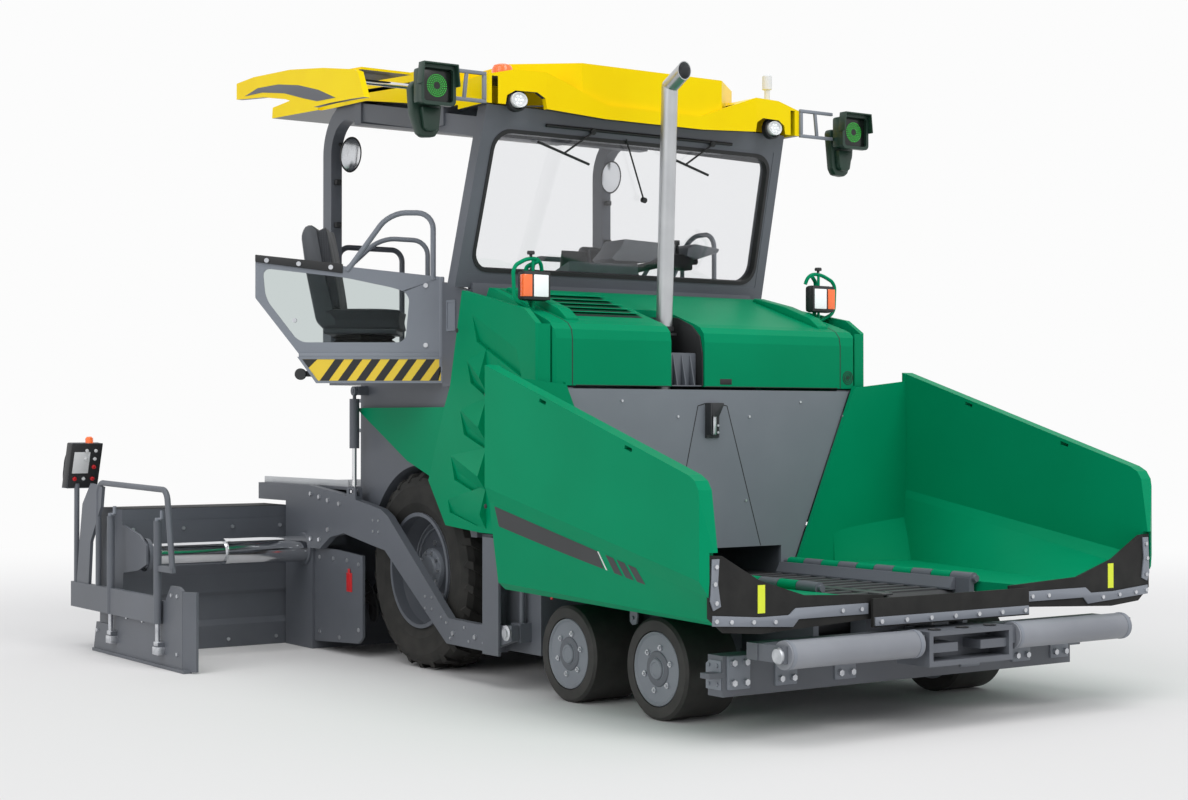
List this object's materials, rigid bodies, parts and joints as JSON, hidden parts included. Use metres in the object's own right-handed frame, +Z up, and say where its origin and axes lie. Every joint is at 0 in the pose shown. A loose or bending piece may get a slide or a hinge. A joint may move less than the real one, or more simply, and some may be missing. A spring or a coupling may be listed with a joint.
{
  "type": "wheeled asphalt paver",
  "caption": "Wheeled asphalt paver with folding hopper, swing-out seats, sliding roof edges and a screed that extends sideways.",
  "frame": {"origin": "on the ground, under the middle of the whole machine", "axes": "+X forward, towards the hopper and push rollers; +Y to the driver's left; +Z up"},
  "size_m": [6.8969, 5.58, 4.226],
  "materials": {
    "black_steel": "matt",
    "chrome": "polished",
    "clear_sheet": "printed border",
    "glass": "clear",
    "green_paint": "satin",
    "grey_paint": "satin",
    "iron": "matt",
    "roof_yellow": "semi-gloss",
    "rubber": "matt",
    "seat_cloth": "woven",
    "steel": "worn",
    "tyre_rubber": "matt"
  },
  "bodies": {
    "tractor": {"main_frame": "grey_paint", "conveyor": "steel", "hopper_back_wall": "grey_paint", "engine": "iron", "rear_housing": "grey_paint", "fenders": "green_paint", "exhaust": "black_steel", "platform": "grey_paint", "control_desk": "black_steel", "canopy_frame": "grey_paint", "windscreen": "glass", "roof": "roof_yellow", "lamp_brackets": "grey_paint", "rear_axle": "grey_paint", "front_bogies": "grey_paint", "apron_centre": "rubber"},
    "rear_wheel_left": {"rear_tyre_left": "tyre_rubber", "rear_rim_left": "grey_paint"},
    "rear_wheel_right": {"rear_tyre_right": "tyre_rubber", "rear_rim_right": "grey_paint"},
    "knuckle_one_left": {"knuckle_one_left": "grey_paint"},
    "front_wheel_one_left": {"front_wheel_one_left": "tyre_rubber"},
    "knuckle_one_right": {"knuckle_one_right": "grey_paint"},
    "front_wheel_one_right": {"front_wheel_one_right": "tyre_rubber"},
    "knuckle_two_left": {"knuckle_two_left": "grey_paint"},
    "front_wheel_two_left": {"front_wheel_two_left": "tyre_rubber"},
    "knuckle_two_right": {"knuckle_two_right": "grey_paint"},
    "front_wheel_two_right": {"front_wheel_two_right": "tyre_rubber"},
    "hopper_wing_left": {"hopper_wing_left": "green_paint", "apron_left": "rubber"},
    "hopper_wing_right": {"hopper_wing_right": "green_paint", "apron_right": "rubber"},
    "push_bar": {"push_bar": "grey_paint"},
    "push_roller_left": {"push_roller_left": "steel"},
    "push_roller_right": {"push_roller_right": "steel"},
    "screed": {"screed_main": "grey_paint", "tow_arms": "grey_paint"},
    "lift_barrels": {"lift_barrels": "grey_paint"},
    "lift_rods": {"lift_rods": "chrome"},
    "screed_extension_left": {"screed_extension_left": "grey_paint"},
    "guide_tube_left": {"guide_tube_left": "chrome"},
    "end_gate_left": {"end_gate_left": "grey_paint"},
    "auger_left": {"auger_left": "steel"},
    "console_left": {"console_left": "clear_sheet", "seat_left": "seat_cloth"},
    "roof_wing_left": {"roof_wing_left": "roof_yellow"},
    "side_door_left": {"side_door_left": "green_paint"},
    "screed_extension_right": {"screed_extension_right": "grey_paint"},
    "guide_tube_right": {"guide_tube_right": "chrome"},
    "end_gate_right": {"end_gate_right": "grey_paint"},
    "auger_right": {"auger_right": "steel"},
    "console_right": {"console_right": "clear_sheet", "seat_right": "seat_cloth"},
    "roof_wing_right": {"roof_wing_right": "roof_yellow"},
    "side_door_right": {"side_door_right": "green_paint"},
    "hood": {"hood": "green_paint"}
  },
  "joints": [
    {"name": "rear_wheel_left_spin", "type": "hinge", "parent": "tractor", "child": "rear_wheel_left", "pos_m": [-0.6885, 1.04, 0.685], "axis": [0, 1, 0], "continuous": true},
    {"name": "rear_wheel_right_spin", "type": "hinge", "parent": "tractor", "child": "rear_wheel_right", "pos_m": [-0.6885, -1.04, 0.685], "axis": [0, 1, 0], "continuous": true},
    {"name": "steer_one_left", "type": "hinge", "parent": "tractor", "child": "knuckle_one_left", "pos_m": [2.1825, 0.85, 0.297], "axis": [0, 0, 1], "range_deg": [-20, 20]},
    {"name": "front_wheel_one_left_spin", "type": "hinge", "parent": "knuckle_one_left", "child": "front_wheel_one_left", "pos_m": [2.1825, 1.095, 0.297], "axis": [0, 1, 0], "continuous": true},
    {"name": "steer_one_right", "type": "hinge", "parent": "tractor", "child": "knuckle_one_right", "pos_m": [2.1825, -0.85, 0.297], "axis": [0, 0, 1], "range_deg": [-20, 20]},
    {"name": "front_wheel_one_right_spin", "type": "hinge", "parent": "knuckle_one_right", "child": "front_wheel_one_right", "pos_m": [2.1825, -1.095, 0.297], "axis": [0, 1, 0], "continuous": true},
    {"name": "steer_two_left", "type": "hinge", "parent": "tractor", "child": "knuckle_two_left", "pos_m": [1.2755, 0.85, 0.297], "axis": [0, 0, 1], "range_deg": [-14, 14]},
    {"name": "front_wheel_two_left_spin", "type": "hinge", "parent": "knuckle_two_left", "child": "front_wheel_two_left", "pos_m": [1.2755, 1.095, 0.297], "axis": [0, 1, 0], "continuous": true},
    {"name": "steer_two_right", "type": "hinge", "parent": "tractor", "child": "knuckle_two_right", "pos_m": [1.2755, -0.85, 0.297], "axis": [0, 0, 1], "range_deg": [-14, 14]},
    {"name": "front_wheel_two_right_spin", "type": "hinge", "parent": "knuckle_two_right", "child": "front_wheel_two_right", "pos_m": [1.2755, -1.095, 0.297], "axis": [0, 1, 0], "continuous": true},
    {"name": "hopper_wing_left_fold", "type": "hinge", "parent": "tractor", "child": "hopper_wing_left", "pos_m": [2.0115, 0.62, 0.778], "axis": [1, 0, 0], "range_deg": [0, 40]},
    {"name": "hopper_wing_right_fold", "type": "hinge", "parent": "tractor", "child": "hopper_wing_right", "pos_m": [2.0115, -0.62, 0.778], "axis": [-1, 0, 0], "range_deg": [0, 40]},
    {"name": "push_bar_swing", "type": "hinge", "parent": "tractor", "child": "push_bar", "pos_m": [3.0115, 0, 0.5], "axis": [0, 0, 1], "range_deg": [-5, 5]},
    {"name": "push_roller_left_spin", "type": "hinge", "parent": "push_bar", "child": "push_roller_left", "pos_m": [3.3715, 0.8575, 0.495], "axis": [0, 1, 0], "continuous": true},
    {"name": "push_roller_right_spin", "type": "hinge", "parent": "push_bar", "child": "push_roller_right", "pos_m": [3.3715, -0.8575, 0.495], "axis": [0, 1, 0], "continuous": true},
    {"name": "screed_lift", "type": "hinge", "parent": "tractor", "child": "screed", "pos_m": [0.6415, 0, 0.37], "axis": [0, 1, 0], "range_deg": [0, 6]},
    {"name": "lift_barrel_tilt", "type": "hinge", "parent": "tractor", "child": "lift_barrels", "pos_m": [-1.4885, 0, 1.95], "axis": [0, 1, 0], "range_deg": [-12, 0]},
    {"name": "lift_rod_stroke", "type": "slide", "parent": "lift_barrels", "child": "lift_rods", "axis": [0, 0, 1], "range_m": [0, 0.215]},
    {"name": "screed_extension_left_slide", "type": "slide", "parent": "screed", "child": "screed_extension_left", "axis": [0, 1, 0], "range_m": [-1.22, 0]},
    {"name": "guide_tube_left_slide", "type": "slide", "parent": "screed", "child": "guide_tube_left", "axis": [0, 1, 0], "range_m": [-0.61, 0]},
    {"name": "end_gate_left_raise", "type": "slide", "parent": "screed_extension_left", "child": "end_gate_left", "axis": [0, 0, 1], "range_m": [0, 0.1]},
    {"name": "auger_left_spin", "type": "hinge", "parent": "tractor", "child": "auger_left", "pos_m": [-1.8185, 0.6, 0.4], "axis": [0, 1, 0], "continuous": true},
    {"name": "console_left_swing", "type": "hinge", "parent": "tractor", "child": "console_left", "pos_m": [-0.3885, 1.18, 2.1], "axis": [0, 0, -1], "range_deg": [0, 55]},
    {"name": "roof_wing_left_slide", "type": "slide", "parent": "tractor", "child": "roof_wing_left", "axis": [0, 1, 0], "range_m": [0, 0.65]},
    {"name": "side_door_left_open", "type": "hinge", "parent": "tractor", "child": "side_door_left", "pos_m": [1.0465, 1.357, 1.5], "axis": [0, 0, -1], "range_deg": [0, 70]},
    {"name": "screed_extension_right_slide", "type": "slide", "parent": "screed", "child": "screed_extension_right", "axis": [0, -1, 0], "range_m": [-1.22, 0]},
    {"name": "guide_tube_right_slide", "type": "slide", "parent": "screed", "child": "guide_tube_right", "axis": [0, -1, 0], "range_m": [-0.61, 0]},
    {"name": "end_gate_right_raise", "type": "slide", "parent": "screed_extension_right", "child": "end_gate_right", "axis": [0, 0, 1], "range_m": [0, 0.1]},
    {"name": "auger_right_spin", "type": "hinge", "parent": "tractor", "child": "auger_right", "pos_m": [-1.8185, -0.6, 0.4], "axis": [0, 1, 0], "continuous": true},
    {"name": "console_right_swing", "type": "hinge", "parent": "tractor", "child": "console_right", "pos_m": [-0.3885, -1.18, 2.1], "axis": [0, 0, 1], "range_deg": [-55, 0]},
    {"name": "roof_wing_right_slide", "type": "slide", "parent": "tractor", "child": "roof_wing_right", "axis": [0, -1, 0], "range_m": [-0.65, 0]},
    {"name": "side_door_right_open", "type": "hinge", "parent": "tractor", "child": "side_door_right", "pos_m": [1.0465, -1.357, 1.5], "axis": [0, 0, 1], "range_deg": [0, 70]},
    {"name": "hood_open", "type": "hinge", "parent": "tractor", "child": "hood", "pos_m": [0.1565, 0, 2.59], "axis": [0, -1, 0], "range_deg": [0, 45]}
  ],
  "couplings": [
    {"joint": "steer_one_right", "follows": "steer_one_left", "ratio": 1},
    {"joint": "steer_two_left", "follows": "steer_one_left", "ratio": 0.7},
    {"joint": "steer_two_right", "follows": "steer_one_left", "ratio": 0.7},
    {"joint": "lift_barrel_tilt", "follows": "screed_lift", "ratio": -1.8267},
    {"joint": "lift_rod_stroke", "follows": "screed_lift", "m_per_rad": 1.992},
    {"joint": "guide_tube_left_slide", "follows": "screed_extension_left_slide", "ratio": 0.5},
    {"joint": "guide_tube_right_slide", "follows": "screed_extension_right_slide", "ratio": 0.5}
  ]
}
